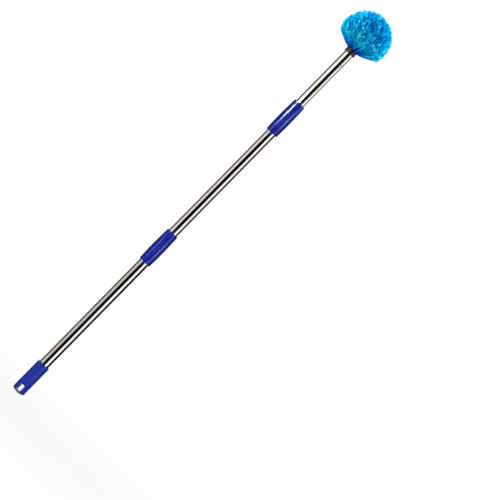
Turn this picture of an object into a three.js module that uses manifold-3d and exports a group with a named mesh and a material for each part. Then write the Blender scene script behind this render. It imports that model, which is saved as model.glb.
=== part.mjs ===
// Extendable cobweb duster: three stainless steel tubes that slide into each other, a twist lock at the
// foot of each inner tube, blue grips on the joints and the end, and a ball of bristles on top.
// Lengths are in millimetres. +Z runs up the pole, and the origin is the middle of the end cap's foot.

import * as THREE from 'three';
import { mergeVertices } from 'three/addons/utils/BufferGeometryUtils.js';
import Module from 'manifold-3d';

const wasm = await Module();
wasm.setup();

// Clearances and modelling values

// Gap between a piece and the one that it slides in, turns on or is pressed against
const clearance = 0.3;
// How far a cutting shape runs past the surface that it cuts
const cutOverrun = 1;
// Corners of a shape that lie closer than this are one corner
const weldDistance = 0.0001;
const pipeSides = 36;
const lockSides = 24;
const smallSides = 16;
const filletSteps = 2;

// Tubes, from the widest down; each inner tube's radius follows from the bore of the one round it

const tubeWall = 0.4;
const lowerTubeRadius = 12.5;
const lowerTubeShown = 319;
const middleTubeShown = 312.5;
const topTubeShown = 156.3;
// How much of an inner tube is hidden below the mouth of the collar that it slides in
const middleTubeHidden = 107;
const topTubeHidden = 250;

const lowerTubeBore = lowerTubeRadius - tubeWall;
const middleTubeRadius = lowerTubeBore - clearance;
const middleTubeBore = middleTubeRadius - tubeWall;
const topTubeRadius = middleTubeBore - clearance;
const topTubeBore = topTubeRadius - tubeWall;

// End cap: a straight grip with a domed end, a hanging slot along Y and a socket for the lower tube

const capLength = 85.9;
const capWall = 2.95;
const capDomeRise = 4.5;
const capFootRadius = 3.5;
const capMouthRound = 1.2;
const capHeelRound = 0.9;
const capDomeSteps = 5;
const slotWidth = 11.6;
const slotLength = 16.9;
const slotHeelWall = 5.3;
const slotCornerRadius = 2;
const slotCornerSteps = 3;
const socketFloorWall = 3.3;

const capRadius = lowerTubeRadius + clearance + capWall;
const socketFloor = slotHeelWall + slotLength + socketFloorWall;
const lowerTubeFoot = socketFloor + clearance;

// Collars: a slightly barrelled grip over a tube's mouth, whose own narrower mouth guides the inner tube

const collarLength = 90.6;
const collarGripDepth = 62;
const collarFootWall = 2.1;
const collarBellyWall = 2.95;
const collarMouthWall = 1.8;
const collarBellyShare = 0.42;
const collarEndRound = 1.4;
const collarBarrelSteps = 6;

// Both collars have the outside of the wider one
const collarInnerRadius = lowerTubeRadius + clearance;
const collarFootRadius = collarInnerRadius + collarFootWall;
const collarBellyRadius = collarInnerRadius + collarBellyWall;
const collarMouthRadius = collarInnerRadius + collarMouthWall;

const lowerCollarFoot = capLength + lowerTubeShown;
const lowerCollarMouth = lowerCollarFoot + collarLength;
const upperCollarFoot = lowerCollarMouth + middleTubeShown;
const upperCollarMouth = upperCollarFoot + collarLength;
const lowerTubeMouth = lowerCollarFoot + collarGripDepth;
const middleTubeFoot = lowerCollarMouth - middleTubeHidden;
const middleTubeMouth = upperCollarFoot + collarGripDepth;
const topTubeFoot = upperCollarMouth - topTubeHidden;
const blockFoot = upperCollarMouth + topTubeShown;

// Twist lock at the foot of an inner tube: plug, spindle, expander sleeve, cone nut and stop washer

const plugDepth = 24;
const plugFlangeHeight = 2.5;
const plugFloorHeight = 6.5;
const plugCupWall = 2.6;
const plugTipRound = 0.8;
const spindleRadius = 4;
const spindleTipLength = 1.6;
const spindleTipBevel = 0.8;
const hexagonSides = 6;
const hexagonFlats = 13;
const hexagonHeight = 5.3;
const sleeveLength = 34;
const sleeveNeckLength = 11;
const sleeveFootWall = 2.2;
const sleeveEdgeBevel = 0.8;
const sleeveGrooveDepth = 0.5;
const sleeveGrooveHeight = 1.2;
const sleeveGrooveCount = 2;
const slitCount = 4;
const slitWidth = 1.8;
const slitHeight = 24;
const coneLength = 15;
const coneTopWall = 1.6;
const nutFlangeHeight = 6;
const nutFlangeInset = 1;
const finInset = 0.9;
const nutTravel = 2.4;
const stopWidth = 2.4;
const stopThickness = 1.6;

// Brush block: a spigot in the top tube, a flange on its rim, a groove and a drum that carries the dome

const spigotDepth = 45;
const spigotWall = 3;
const spigotRoofHeight = 7;
const spigotTipRound = 0.8;
const flangeOverhang = 2.9;
const flangeThickness = 1.9;
const grooveHeight = 0.9;
const grooveDepth = 0.6;
const drumInset = 0.8;
const drumTopRise = 10.2;
const drumTopRound = 0.6;
const domeRadius = 13.5;
const domeFocusRise = 5;
const domeRows = 3;
const domeSides = 16;

const flangeRadius = topTubeRadius + flangeOverhang;
const drumRadius = flangeRadius - drumInset;

// Bristles: strands that fan out of the dome to a ball, in rings, one slice of the dome in each quarter

const ballRadius = 59.6;
const ballCentreRise = 52.3;
const fanAngle = THREE.MathUtils.degToRad(67);
const firstRootAngle = THREE.MathUtils.degToRad(6);
const lastRootAngle = THREE.MathUtils.degToRad(59);
const strandRings = 11;
const strandPitch = 9.6;
const strandSides = 3;
const strandRootDepth = 2;
const strandRootHalfWidth = 0.5;
const strandTipHalfWidth = 3.6;
const strandMiddleWidthShare = 0.52;
const strandDroopShare = 0.19;
const strandLossShare = 0.07;
const strandSpreadShare = 0.618;
const quarterCount = 4;

// Head screw: a pan head screw with a cross recess, through the top tube into the spigot

const screwDrop = 34;
const screwAngle = THREE.MathUtils.degToRad(-34.4);
const screwHeadRadius = 3.55;
const screwHeadHeight = 2.1;
const screwHeadRound = 0.9;
const screwShankRadius = 2;
const screwShankLength = 9.5;
const screwPointLength = 1.5;
const recessWidth = 0.9;
const recessLength = 4.2;
const recessDepth = 1.2;

// Finishes

const steel = new THREE.MeshStandardMaterial({ color: 0xd6d1c8, roughness: 0.18, metalness: 1 });
const darkSteel = new THREE.MeshStandardMaterial({ color: 0x9b9b9b, roughness: 0.35, metalness: 1 });
const bluePlastic = new THREE.MeshStandardMaterial({ color: 0x1f2d9e, roughness: 0.22, metalness: 0 });
const blackPlastic = new THREE.MeshStandardMaterial({ color: 0x26272a, roughness: 0.45, metalness: 0 });
const paleNylon = new THREE.MeshStandardMaterial({ color: 0xd9d6cc, roughness: 0.5, metalness: 0 });
const greyNylon = new THREE.MeshStandardMaterial({ color: 0x8b8e92, roughness: 0.5, metalness: 0 });
const bristleBlue = new THREE.MeshStandardMaterial({ color: 0x0a94dc, roughness: 0.45, metalness: 0 });

// Shape helpers

// A closed geometry as a solid that can be cut and joined.
function solidFrom(geometry) {
  geometry.deleteAttribute('normal');
  geometry.deleteAttribute('uv');
  const merged = mergeVertices(geometry, weldDistance);
  const corners = merged.index.array;
  const kept = [];
  for (let i = 0; i < corners.length; i += 3) {
    const [a, b, c] = [corners[i], corners[i + 1], corners[i + 2]];
    if (a !== b && b !== c && c !== a) kept.push(a, b, c);
  }
  return new wasm.Manifold(new wasm.Mesh({
    numProp: 3,
    vertProperties: new Float32Array(merged.attributes.position.array),
    triVerts: new Uint32Array(kept),
  }));
}

function meshFrom(name, solid, material) {
  const { vertProperties, triVerts, numProp } = solid.getMesh();
  const geometry = new THREE.BufferGeometry();
  geometry.setAttribute('position', new THREE.BufferAttribute(vertProperties, numProp));
  geometry.setIndex(new THREE.BufferAttribute(triVerts, 1));
  geometry.computeVertexNormals();
  const mesh = new THREE.Mesh(geometry, material);
  mesh.name = name;
  return mesh;
}

// An outline of [radius, height] points turned round Z. It runs up the outside and back down the inside,
// and starts and ends on the axis or closes on itself.
function turned(outline, sides = pipeSides) {
  const points = outline.map(([radius, height]) => new THREE.Vector2(radius, height));
  if (outline[0][0] > 0) points.push(points[0].clone());
  const geometry = new THREE.LatheGeometry(points, sides);
  geometry.rotateX(Math.PI / 2);
  return solidFrom(geometry);
}

// Points of a quarter or part circle in a [radius, height] outline, from one angle to another.
function arc([radius, height], size, startDegrees, endDegrees, steps) {
  return Array.from({ length: steps + 1 }, (_, i) => {
    const angle = THREE.MathUtils.degToRad(startDegrees + (endDegrees - startDegrees) * i / steps);
    return [radius + size * Math.cos(angle), height + size * Math.sin(angle)];
  });
}

function ring(outer, inner, foot, top, sides = pipeSides) {
  return turned([[inner, foot], [outer, foot], [outer, top], [inner, top]], sides);
}

// A plain round bar along Z from foot to top.
function bar(radius, foot, top, sides = smallSides) {
  return turned([[0, foot], [radius, foot], [radius, top], [0, top]], sides);
}

// A hexagonal bar along Z, measured across its flats.
function hexagonBar(flats, foot, top) {
  const cornerRadius = flats / 2 / Math.cos(Math.PI / hexagonSides);
  return bar(cornerRadius, foot, top, hexagonSides);
}

function box(low, high) {
  const size = high.map((value, i) => value - low[i]);
  const geometry = new THREE.BoxGeometry(...size);
  geometry.translate(...low.map((value, i) => value + size[i] / 2));
  return solidFrom(geometry);
}

// The slot's outline, a rectangle with rounded corners, run through the cap along Y.
function slotCutter() {
  const half = slotWidth / 2;
  const low = slotHeelWall;
  const high = slotHeelWall + slotLength;
  const round = slotCornerRadius;
  const shape = new THREE.Shape();
  shape.moveTo(half, low + round);
  shape.lineTo(half, high - round);
  shape.absarc(half - round, high - round, round, 0, Math.PI / 2);
  shape.lineTo(round - half, high);
  shape.absarc(round - half, high - round, round, Math.PI / 2, Math.PI);
  shape.lineTo(-half, low + round);
  shape.absarc(round - half, low + round, round, Math.PI, Math.PI * 3 / 2);
  shape.lineTo(half - round, low);
  shape.absarc(half - round, low + round, round, Math.PI * 3 / 2, Math.PI * 2);
  const depth = 2 * (capRadius + cutOverrun);
  const geometry = new THREE.ExtrudeGeometry(shape, {
    depth, bevelEnabled: false, curveSegments: slotCornerSteps,
  });
  geometry.rotateX(Math.PI / 2);
  geometry.translate(0, depth / 2, 0);
  return solidFrom(geometry);
}

function endCap() {
  const domeRadiusOfCurve = (capRadius ** 2 + capDomeRise ** 2) / (2 * capDomeRise);
  const flatAngle = Math.asin(capFootRadius / domeRadiusOfCurve);
  const heelAngle = Math.asin((capRadius - capHeelRound) / domeRadiusOfCurve);
  const dome = Array.from({ length: capDomeSteps + 1 }, (_, i) => {
    const angle = flatAngle + (heelAngle - flatAngle) * i / capDomeSteps;
    const drop = domeRadiusOfCurve * (Math.cos(flatAngle) - Math.cos(angle));
    return [domeRadiusOfCurve * Math.sin(angle), drop];
  });
  const mouthCentre = [capRadius - capMouthRound, capLength - capMouthRound];
  const socketRadius = lowerTubeRadius + clearance;
  const outline = [
    [0, 0],
    ...dome,
    [capRadius, capDomeRise + capHeelRound],
    ...arc(mouthCentre, capMouthRound, 0, 90, filletSteps),
    [socketRadius, capLength],
    [socketRadius, socketFloor],
    [0, socketFloor],
  ];
  return turned(outline).subtract(slotCutter());
}

// The barrelled outside of a collar is two half parabolas that meet at the belly.
function collarBarrelRadius(share) {
  const endRadius = share < collarBellyShare ? collarFootRadius : collarMouthRadius;
  const endDistanceShare = share < collarBellyShare ? collarBellyShare : 1 - collarBellyShare;
  const offsetShare = (share - collarBellyShare) / endDistanceShare;
  return collarBellyRadius - (collarBellyRadius - endRadius) * offsetShare ** 2;
}

function collar(foot, outerTubeRadius, innerTubeRadius) {
  const mouth = foot + collarLength;
  const gripBore = outerTubeRadius + clearance;
  const guideBore = innerTubeRadius + clearance;
  const roundShare = collarEndRound / collarLength;
  const barrel = Array.from({ length: collarBarrelSteps + 1 }, (_, i) => {
    const share = roundShare + (1 - 2 * roundShare) * i / collarBarrelSteps;
    return [collarBarrelRadius(share), foot + share * collarLength];
  });
  const footCentre = [barrel[0][0] - collarEndRound, foot + collarEndRound];
  const mouthCentre = [barrel.at(-1)[0] - collarEndRound, mouth - collarEndRound];
  const outline = [
    [gripBore, foot],
    ...arc(footCentre, collarEndRound, -90, 0, filletSteps).slice(0, -1),
    ...barrel,
    ...arc(mouthCentre, collarEndRound, 0, 90, filletSteps).slice(1),
    [guideBore, mouth],
    [guideBore, foot + collarGripDepth + clearance],
    [gripBore, foot + collarGripDepth + clearance],
  ];
  return turned(outline);
}

// Heights of one twist lock, worked down from the foot of its tube.
function lockLevels(tubeFoot) {
  const plugFoot = tubeFoot - clearance - plugFlangeHeight;
  const sleeveTop = plugFoot - clearance;
  const sleeveFoot = sleeveTop - sleeveLength;
  const nutFlangeTop = sleeveFoot - clearance;
  const nutFoot = nutFlangeTop - nutFlangeHeight;
  const stopTop = nutFoot - nutTravel;
  const stopFoot = stopTop - stopThickness;
  return { tubeFoot, plugFoot, sleeveTop, sleeveFoot, nutFlangeTop, nutFoot, stopTop, stopFoot };
}

// A moulded cup pressed in the tube's foot, with a pocket that keeps the spindle's head from turning.
function lockPlug(levels, tubeRadius, tubeBore) {
  const bodyRadius = tubeBore - clearance;
  const top = levels.tubeFoot + plugDepth;
  const cupFloor = levels.plugFoot + plugFloorHeight + clearance + hexagonHeight;
  const flangeTop = levels.plugFoot + plugFlangeHeight;
  const cupRadius = bodyRadius - plugCupWall;
  const spindleBore = spindleRadius + clearance;
  const tipCentre = [bodyRadius - plugTipRound, top - plugTipRound];
  const body = turned([
    [spindleBore, levels.plugFoot],
    [tubeRadius, levels.plugFoot],
    [tubeRadius, flangeTop],
    [bodyRadius, flangeTop],
    ...arc(tipCentre, plugTipRound, 0, 90, filletSteps),
    [cupRadius, top],
    [cupRadius, cupFloor],
    [spindleBore, cupFloor],
  ], lockSides);
  const pocketFloor = levels.plugFoot + plugFloorHeight;
  const pocket = hexagonBar(hexagonFlats + 2 * clearance, pocketFloor, cupFloor + cutOverrun);
  return body.subtract(pocket);
}

function lockSpindle(levels) {
  const tip = levels.stopFoot - spindleTipLength;
  const headFoot = levels.plugFoot + plugFloorHeight + clearance;
  const shank = turned([
    [0, tip],
    [spindleRadius - spindleTipBevel, tip],
    [spindleRadius, tip + spindleTipBevel],
    [spindleRadius, headFoot + hexagonHeight / 2],
    [0, headFoot + hexagonHeight / 2],
  ], smallSides);
  return shank.add(hexagonBar(hexagonFlats, headFoot, headFoot + hexagonHeight));
}

// Radius of the cone nut at its foot, as wide as the sleeve's mouth lets in.
function coneFootRadius(sleeveRadius) {
  return sleeveRadius - sleeveFootWall - clearance;
}

// A split sleeve: a neck on the spindle and four fingers round a conical mouth, with grip grooves.
function lockSleeve(levels, outerTubeBore) {
  const sleeveRadius = outerTubeBore - clearance;
  const spindleBore = spindleRadius + clearance;
  const neckFoot = levels.sleeveTop - sleeveNeckLength;
  const coneTop = levels.sleeveFoot + coneLength + clearance;
  const throatRadius = spindleBore + coneTopWall + clearance;
  const groovePitch = slitHeight / (sleeveGrooveCount + 1);
  const grooves = Array.from({ length: sleeveGrooveCount }, (_, i) => {
    const low = levels.sleeveFoot + groovePitch * (i + 1);
    return [
      [sleeveRadius, low],
      [sleeveRadius - sleeveGrooveDepth, low],
      [sleeveRadius - sleeveGrooveDepth, low + sleeveGrooveHeight],
      [sleeveRadius, low + sleeveGrooveHeight],
    ];
  }).flat();
  const body = turned([
    [coneFootRadius(sleeveRadius) + clearance, levels.sleeveFoot],
    [sleeveRadius - sleeveEdgeBevel, levels.sleeveFoot],
    [sleeveRadius, levels.sleeveFoot + sleeveEdgeBevel],
    ...grooves,
    [sleeveRadius, levels.sleeveTop - sleeveEdgeBevel],
    [sleeveRadius - sleeveEdgeBevel, levels.sleeveTop],
    [spindleBore, levels.sleeveTop],
    [spindleBore, neckFoot],
    [throatRadius, neckFoot],
    [throatRadius, coneTop],
  ], lockSides);
  const reach = sleeveRadius + cutOverrun;
  const slitFoot = levels.sleeveFoot - cutOverrun;
  const slitTop = levels.sleeveFoot + slitHeight;
  const slit = box([-reach, -slitWidth / 2, slitFoot], [reach, slitWidth / 2, slitTop]);
  return halfTurnAngles(slitCount / 2).reduce(
    (sleeve, degrees) => sleeve.subtract(slit.rotate([0, 0, degrees])),
    body,
  );
}

// Angles that share half a turn, for a bar that crosses the axis.
function halfTurnAngles(count) {
  return Array.from({ length: count }, (_, i) => i * 180 / count);
}

// A nut with a conical nose in the sleeve and a fin in each slit, so that it climbs and can't turn.
function lockNut(levels, outerTubeBore) {
  const sleeveRadius = outerTubeBore - clearance;
  const bore = spindleRadius + clearance;
  const nutFlangeRadius = sleeveRadius - nutFlangeInset;
  const coneFoot = levels.nutFlangeTop;
  const coneTop = levels.sleeveFoot + coneLength;
  const body = turned([
    [bore, levels.nutFoot],
    [nutFlangeRadius, levels.nutFoot],
    [nutFlangeRadius, coneFoot],
    [coneFootRadius(sleeveRadius), coneFoot],
    [bore + coneTopWall, coneTop],
    [bore, coneTop],
  ], lockSides);
  const finReach = sleeveRadius - finInset;
  const finHalf = slitWidth / 2 - clearance;
  const finFoot = coneFoot - nutFlangeHeight / 2;
  const finBar = box([-finReach, -finHalf, finFoot], [finReach, finHalf, coneTop]);
  const core = bar(bore + coneTopWall / 2, finFoot - cutOverrun, coneTop + cutOverrun);
  return halfTurnAngles(slitCount / 2).reduce(
    (nut, degrees) => nut.add(finBar.rotate([0, 0, degrees]).subtract(core)),
    body,
  );
}

function lockStop(levels) {
  const bore = spindleRadius + clearance;
  return ring(bore + stopWidth, bore, levels.stopFoot, levels.stopTop, smallSides);
}

// A shape along +Z from the origin, laid outward along the screw's direction at the tube's surface.
function placeScrewwise(solid) {
  const height = blockFoot - screwDrop;
  return solid.rotate([0, 90, THREE.MathUtils.radToDeg(screwAngle)]).translate([0, 0, height]);
}

function screwHole() {
  return placeScrewwise(bar(screwShankRadius + clearance, 0, topTubeRadius + cutOverrun));
}

function topTube() {
  const tube = ring(topTubeRadius, topTubeBore, topTubeFoot, blockFoot - clearance);
  return tube.subtract(screwHole());
}

function headScrew() {
  const seat = topTubeRadius + clearance;
  const tip = seat - screwShankLength;
  const top = seat + screwHeadHeight;
  const roundCentre = [screwHeadRadius - screwHeadRound, top - screwHeadRound];
  const body = turned([
    [0, tip],
    [screwShankRadius, tip + screwPointLength],
    [screwShankRadius, seat],
    [screwHeadRadius, seat],
    ...arc(roundCentre, screwHeadRound, 0, 90, filletSteps),
    [0, top],
  ], smallSides);
  const halfWidth = recessWidth / 2;
  const halfLength = recessLength / 2;
  const blade = box(
    [-halfLength, -halfWidth, top - recessDepth],
    [halfLength, halfWidth, top + cutOverrun],
  );
  return placeScrewwise(body.subtract(blade).subtract(blade.rotate([0, 0, 90])));
}

function brushBlock() {
  const spigotRadius = topTubeBore - clearance;
  const spigotFoot = blockFoot - spigotDepth;
  const hollowRadius = spigotRadius - spigotWall;
  const hollowTop = blockFoot - spigotRoofHeight;
  const flangeTop = blockFoot + flangeThickness;
  const grooveTop = flangeTop + grooveHeight;
  const drumTop = blockFoot + drumTopRise;
  const tipCentre = [spigotRadius - spigotTipRound, spigotFoot + spigotTipRound];
  const topCentre = [drumRadius - drumTopRound, drumTop - drumTopRound];
  const body = turned([
    [hollowRadius, spigotFoot],
    ...arc(tipCentre, spigotTipRound, -90, 0, filletSteps),
    [spigotRadius, blockFoot],
    [flangeRadius, blockFoot],
    [flangeRadius, flangeTop],
    [drumRadius - grooveDepth, flangeTop],
    [drumRadius - grooveDepth, grooveTop],
    [drumRadius, grooveTop],
    ...arc(topCentre, drumTopRound, 0, 90, filletSteps),
    [0, drumTop],
    [0, hollowTop],
    [hollowRadius, hollowTop],
  ]);
  return body.subtract(screwHole());
}

// A point in the plane y = 0, at an angle from the pole's axis and a distance from the strands' focus.
function rayPoint(angle, distance) {
  const focus = blockFoot + domeFocusRise;
  return new THREE.Vector3(distance * Math.sin(angle), 0, focus + distance * Math.cos(angle));
}

// Distance from the focus to the ball along a ray at an angle from the axis.
function ballDistance(angle) {
  const rise = ballCentreRise - domeFocusRise;
  const along = rise * Math.cos(angle);
  return along + Math.sqrt(along ** 2 - rise ** 2 + ballRadius ** 2);
}

// Corners of a strand's cross-section, square to its direction, in the plane y = 0 and beside it.
function strandSection(centre, direction, halfWidth) {
  const ahead = direction.clone().normalize();
  const across = new THREE.Vector3(ahead.z, 0, -ahead.x);
  return Array.from({ length: strandSides }, (_, side) => {
    const turn = side * 2 * Math.PI / strandSides;
    const corner = centre.clone().addScaledVector(across, halfWidth * Math.cos(turn));
    corner.y = halfWidth * Math.sin(turn);
    return corner;
  });
}

// Moves a point along a direction on to a ball round the bristles' centre, as shears trim a tuft.
function trimmedTo(radius, corner, direction) {
  const ahead = direction.clone().normalize();
  const centre = new THREE.Vector3(0, 0, blockFoot + ballCentreRise);
  const offset = corner.clone().sub(centre);
  const along = offset.dot(ahead);
  const travel = Math.sqrt(along ** 2 - offset.lengthSq() + radius ** 2) - along;
  return corner.clone().addScaledVector(ahead, travel);
}

// One strand: a three sided bar on a bent path that widens from its root in the dome to its trimmed tip.
function strand(azimuth, rootAngle, tipAngle, trimRadius) {
  const root = rayPoint(rootAngle, domeRadius - strandRootDepth);
  const tip = rayPoint(tipAngle, ballDistance(tipAngle));
  const middle = root.clone().add(tip).multiplyScalar(1 / 2);
  middle.z -= strandDroopShare * (tip.z - root.z) * (tipAngle / fanAngle) ** 2;
  const leaving = middle.clone().sub(root);
  const passing = tip.clone().sub(root);
  const arriving = tip.clone().sub(middle);
  const corners = [
    ...strandSection(root, leaving, strandRootHalfWidth),
    ...strandSection(middle, passing, strandTipHalfWidth * strandMiddleWidthShare),
    ...strandSection(tip, arriving, strandTipHalfWidth).map((corner) => (
      trimmedTo(trimRadius, corner, arriving)
    )),
  ];
  const axis = new THREE.Vector3(0, 0, 1);
  const positions = corners.flatMap((corner) => corner.applyAxisAngle(axis, azimuth).toArray());
  const rows = corners.length / strandSides;
  const last = (rows - 1) * strandSides;
  const faces = [];
  for (let side = 1; side < strandSides - 1; side += 1) {
    faces.push(0, side + 1, side, last, last + side, last + side + 1);
  }
  for (let row = 0; row < last; row += strandSides) {
    for (let side = 0; side < strandSides; side += 1) {
      const a = row + side;
      const b = row + (side + 1) % strandSides;
      faces.push(a, b, b + strandSides, a, b + strandSides, a + strandSides);
    }
  }
  const geometry = new THREE.BufferGeometry();
  geometry.setAttribute('position', new THREE.Float32BufferAttribute(positions, 3));
  geometry.setIndex(faces);
  return solidFrom(geometry);
}

// The dome that the bristles grow from, a cap of a ball round the point that the strands fan from.
function dome() {
  const focus = blockFoot + domeFocusRise;
  const foot = blockFoot + drumTopRise + clearance;
  const rimAngle = Math.acos((foot - focus) / domeRadius);
  const curve = Array.from({ length: domeRows + 1 }, (_, i) => {
    const angle = rimAngle * (1 - i / domeRows);
    return [domeRadius * Math.sin(angle), focus + domeRadius * Math.cos(angle)];
  });
  return turned([[0, foot], ...curve], domeSides);
}

// A quarter of the bristles with their slice of the dome. Quarter 0 lies between +X and +Y.
function bristleQuarter(quarter) {
  const reach = domeRadius + cutOverrun;
  const gap = clearance / 2;
  const slice = box([gap, gap, blockFoot], [reach, reach, blockFoot + ballCentreRise]);
  let solid = dome().intersect(slice.rotate([0, 0, quarter * 360 / quarterCount]));
  let index = quarter;
  for (let ringIndex = 0; ringIndex < strandRings; ringIndex += 1) {
    const share = (ringIndex + 1 / 2) / strandRings;
    const tipAngle = fanAngle * share;
    const rootAngle = firstRootAngle + (lastRootAngle - firstRootAngle) * share;
    const quarterArc = ballDistance(tipAngle) * Math.sin(tipAngle) * Math.PI / 2;
    const count = Math.max(1, Math.round(quarterArc / strandPitch));
    for (let i = 0; i < count; i += 1) {
      const azimuth = (quarter + (i + 1 / 2) / count) * Math.PI / 2;
      const lossShare = strandLossShare * ((index * strandSpreadShare) % 1);
      const trimRadius = ballRadius * (1 - lossShare);
      solid = solid.add(strand(azimuth, rootAngle, tipAngle, trimRadius));
      index += 1;
    }
  }
  return solid;
}

const lowerLock = lockLevels(middleTubeFoot);
const upperLock = lockLevels(topTubeFoot);

const duster = new THREE.Group();
duster.add(
  meshFrom('end_cap', endCap(), bluePlastic),
  meshFrom('lower_tube', ring(lowerTubeRadius, lowerTubeBore, lowerTubeFoot, lowerTubeMouth), steel),
  meshFrom('lower_collar', collar(lowerCollarFoot, lowerTubeRadius, middleTubeRadius), bluePlastic),
  meshFrom('middle_tube', ring(middleTubeRadius, middleTubeBore, middleTubeFoot, middleTubeMouth), steel),
  meshFrom('upper_collar', collar(upperCollarFoot, middleTubeRadius, topTubeRadius), bluePlastic),
  meshFrom('top_tube', topTube(), steel),
  meshFrom('lower_lock_plug', lockPlug(lowerLock, middleTubeRadius, middleTubeBore), greyNylon),
  meshFrom('lower_lock_spindle', lockSpindle(lowerLock), darkSteel),
  meshFrom('lower_lock_sleeve', lockSleeve(lowerLock, lowerTubeBore), paleNylon),
  meshFrom('lower_lock_nut', lockNut(lowerLock, lowerTubeBore), greyNylon),
  meshFrom('lower_lock_stop', lockStop(lowerLock), darkSteel),
  meshFrom('upper_lock_plug', lockPlug(upperLock, topTubeRadius, topTubeBore), greyNylon),
  meshFrom('upper_lock_spindle', lockSpindle(upperLock), darkSteel),
  meshFrom('upper_lock_sleeve', lockSleeve(upperLock, middleTubeBore), paleNylon),
  meshFrom('upper_lock_nut', lockNut(upperLock, middleTubeBore), greyNylon),
  meshFrom('upper_lock_stop', lockStop(upperLock), darkSteel),
  meshFrom('brush_block', brushBlock(), blackPlastic),
  meshFrom('head_screw', headScrew(), darkSteel),
);
['right_back', 'left_back', 'left_front', 'right_front'].forEach((side, quarter) => {
  duster.add(meshFrom(`bristles_${side}`, bristleQuarter(quarter), bristleBlue));
});

export default duster;
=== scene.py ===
# %% [markdown]
# # An extendable cobweb duster in a small studio
#
# The duster is a telescopic steel pole with blue plastic grips and a ball of blue bristles. Its
# solid model is finished: every tube, grip and lock part has its place and size. This lesson gives
# it its looks. Each step says what a piece is on the real object, how it could be made, and why it
# is made the way it is here. All lengths in Blender are metres, and +Z runs up the pole.

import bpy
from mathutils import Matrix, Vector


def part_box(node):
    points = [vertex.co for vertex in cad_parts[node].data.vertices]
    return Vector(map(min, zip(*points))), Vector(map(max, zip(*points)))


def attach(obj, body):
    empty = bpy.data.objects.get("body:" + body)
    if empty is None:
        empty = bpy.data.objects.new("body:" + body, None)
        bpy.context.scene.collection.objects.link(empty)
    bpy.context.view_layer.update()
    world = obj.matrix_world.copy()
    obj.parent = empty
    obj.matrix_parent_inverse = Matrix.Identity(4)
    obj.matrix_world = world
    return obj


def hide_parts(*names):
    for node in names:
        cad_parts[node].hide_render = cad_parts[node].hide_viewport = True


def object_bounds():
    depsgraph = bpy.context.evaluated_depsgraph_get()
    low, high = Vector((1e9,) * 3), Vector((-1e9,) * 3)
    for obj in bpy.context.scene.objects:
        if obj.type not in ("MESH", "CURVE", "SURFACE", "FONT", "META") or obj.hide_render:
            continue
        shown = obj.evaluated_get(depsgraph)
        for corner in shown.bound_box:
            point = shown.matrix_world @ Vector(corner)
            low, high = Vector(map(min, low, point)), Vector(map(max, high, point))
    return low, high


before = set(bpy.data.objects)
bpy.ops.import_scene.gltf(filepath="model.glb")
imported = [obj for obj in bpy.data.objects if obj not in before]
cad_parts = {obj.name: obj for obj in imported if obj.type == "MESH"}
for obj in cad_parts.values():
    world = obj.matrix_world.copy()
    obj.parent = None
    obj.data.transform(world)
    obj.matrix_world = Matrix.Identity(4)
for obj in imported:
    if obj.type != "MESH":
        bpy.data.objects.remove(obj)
cad_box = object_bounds()
print("nodes:", len(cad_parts))

# %% [markdown]
# ## Numbers and arrays
#
# A vertex could be placed by hand or by a loop, but a mesh has thousands of them. Numpy works out
# whole arrays of points at once, so a shape is written as one formula and stays quick to run. The
# duster's sizes are millimetres times MM, or are read from the frame. The studio's are metres.

import bmesh
import bpy
import numpy as np
from mathutils import Matrix, Vector

MM = 0.001
TURN = 2 * np.pi


def box_of(node):
    """Lowest and highest corner of a solid as two arrays."""
    low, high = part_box(node)
    return np.array(low), np.array(high)


def unit(vector):
    """The vector, or each row of an array of vectors, divided by its length."""
    return vector / np.linalg.norm(vector, axis=-1, keepdims=True)


def add(name, data):
    """A new object in the scene for a mesh, a lamp or a camera."""
    made = bpy.data.objects.new(name, data)
    bpy.context.scene.collection.objects.link(made)
    return made


def stand(made, place, axes):
    """Turns a lamp or a camera to three axes, and then moves it to its place."""
    made.matrix_world = Matrix.Translation(Vector(place)) @ Matrix(axes).to_4x4()


part_height = cad_box[1][2] - cad_box[0][2]
print("height of the duster:", round(part_height, 4), "m")

# %% [markdown]
# ## The camera
#
# In the photograph the duster lies across the picture from corner to corner, seen square from the
# side. The camera could be aimed by eye. Here it is worked out: the pole's foot and top are two
# pixels, and the line between them gives the scale, the tilt and the point in the middle of the
# picture. A long lens keeps the pole's two ends the same width, as they are in the photograph.

# %% The picture's frame and the pole in it
picture_size = np.array([481.0, 500.0])
pole_foot_pixel = np.array([16.5, 391.4])
pole_top_pixel = np.array([383.6, 17.4])
pole_in_picture = pole_top_pixel - pole_foot_pixel
metres_per_pixel = part_height / np.linalg.norm(pole_in_picture)
along = unit(pole_in_picture)
across = np.array([-along[1], along[0]])
middle_pixel = (picture_size - 1) / 2 - pole_foot_pixel
middle_up = middle_pixel @ along * metres_per_pixel
middle_right = middle_pixel @ across * metres_per_pixel
print("millimetres for one pixel:", round(metres_per_pixel / MM, 3))

# %% Place the camera
view_azimuth = np.radians(7.8)
lens = 200.0
sensor = 36.0
view_end = 100.0
up = np.array([0.0, 0.0, 1.0])
to_camera = np.array([np.sin(view_azimuth), -np.cos(view_azimuth), 0.0])
to_right = np.array([np.cos(view_azimuth), np.sin(view_azimuth), 0.0])
camera_distance = metres_per_pixel * picture_size.max() * lens / sensor
camera_target = to_right * middle_right + up * middle_up
camera_place = camera_target + to_camera * camera_distance
tilt = np.arctan2(pole_in_picture[0], -pole_in_picture[1])
camera_x = np.sin(tilt) * up + np.cos(tilt) * to_right
camera_y = np.cos(tilt) * up - np.sin(tilt) * to_right

camera = add("camera", bpy.data.cameras.new("camera"))
camera.data.lens = lens
camera.data.sensor_width = sensor
camera.data.clip_end = view_end
stand(camera, camera_place, np.column_stack([camera_x, camera_y, to_camera]).tolist())
bpy.context.scene.camera = camera
print("camera distance:", round(float(camera_distance), 2), "m")

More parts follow.
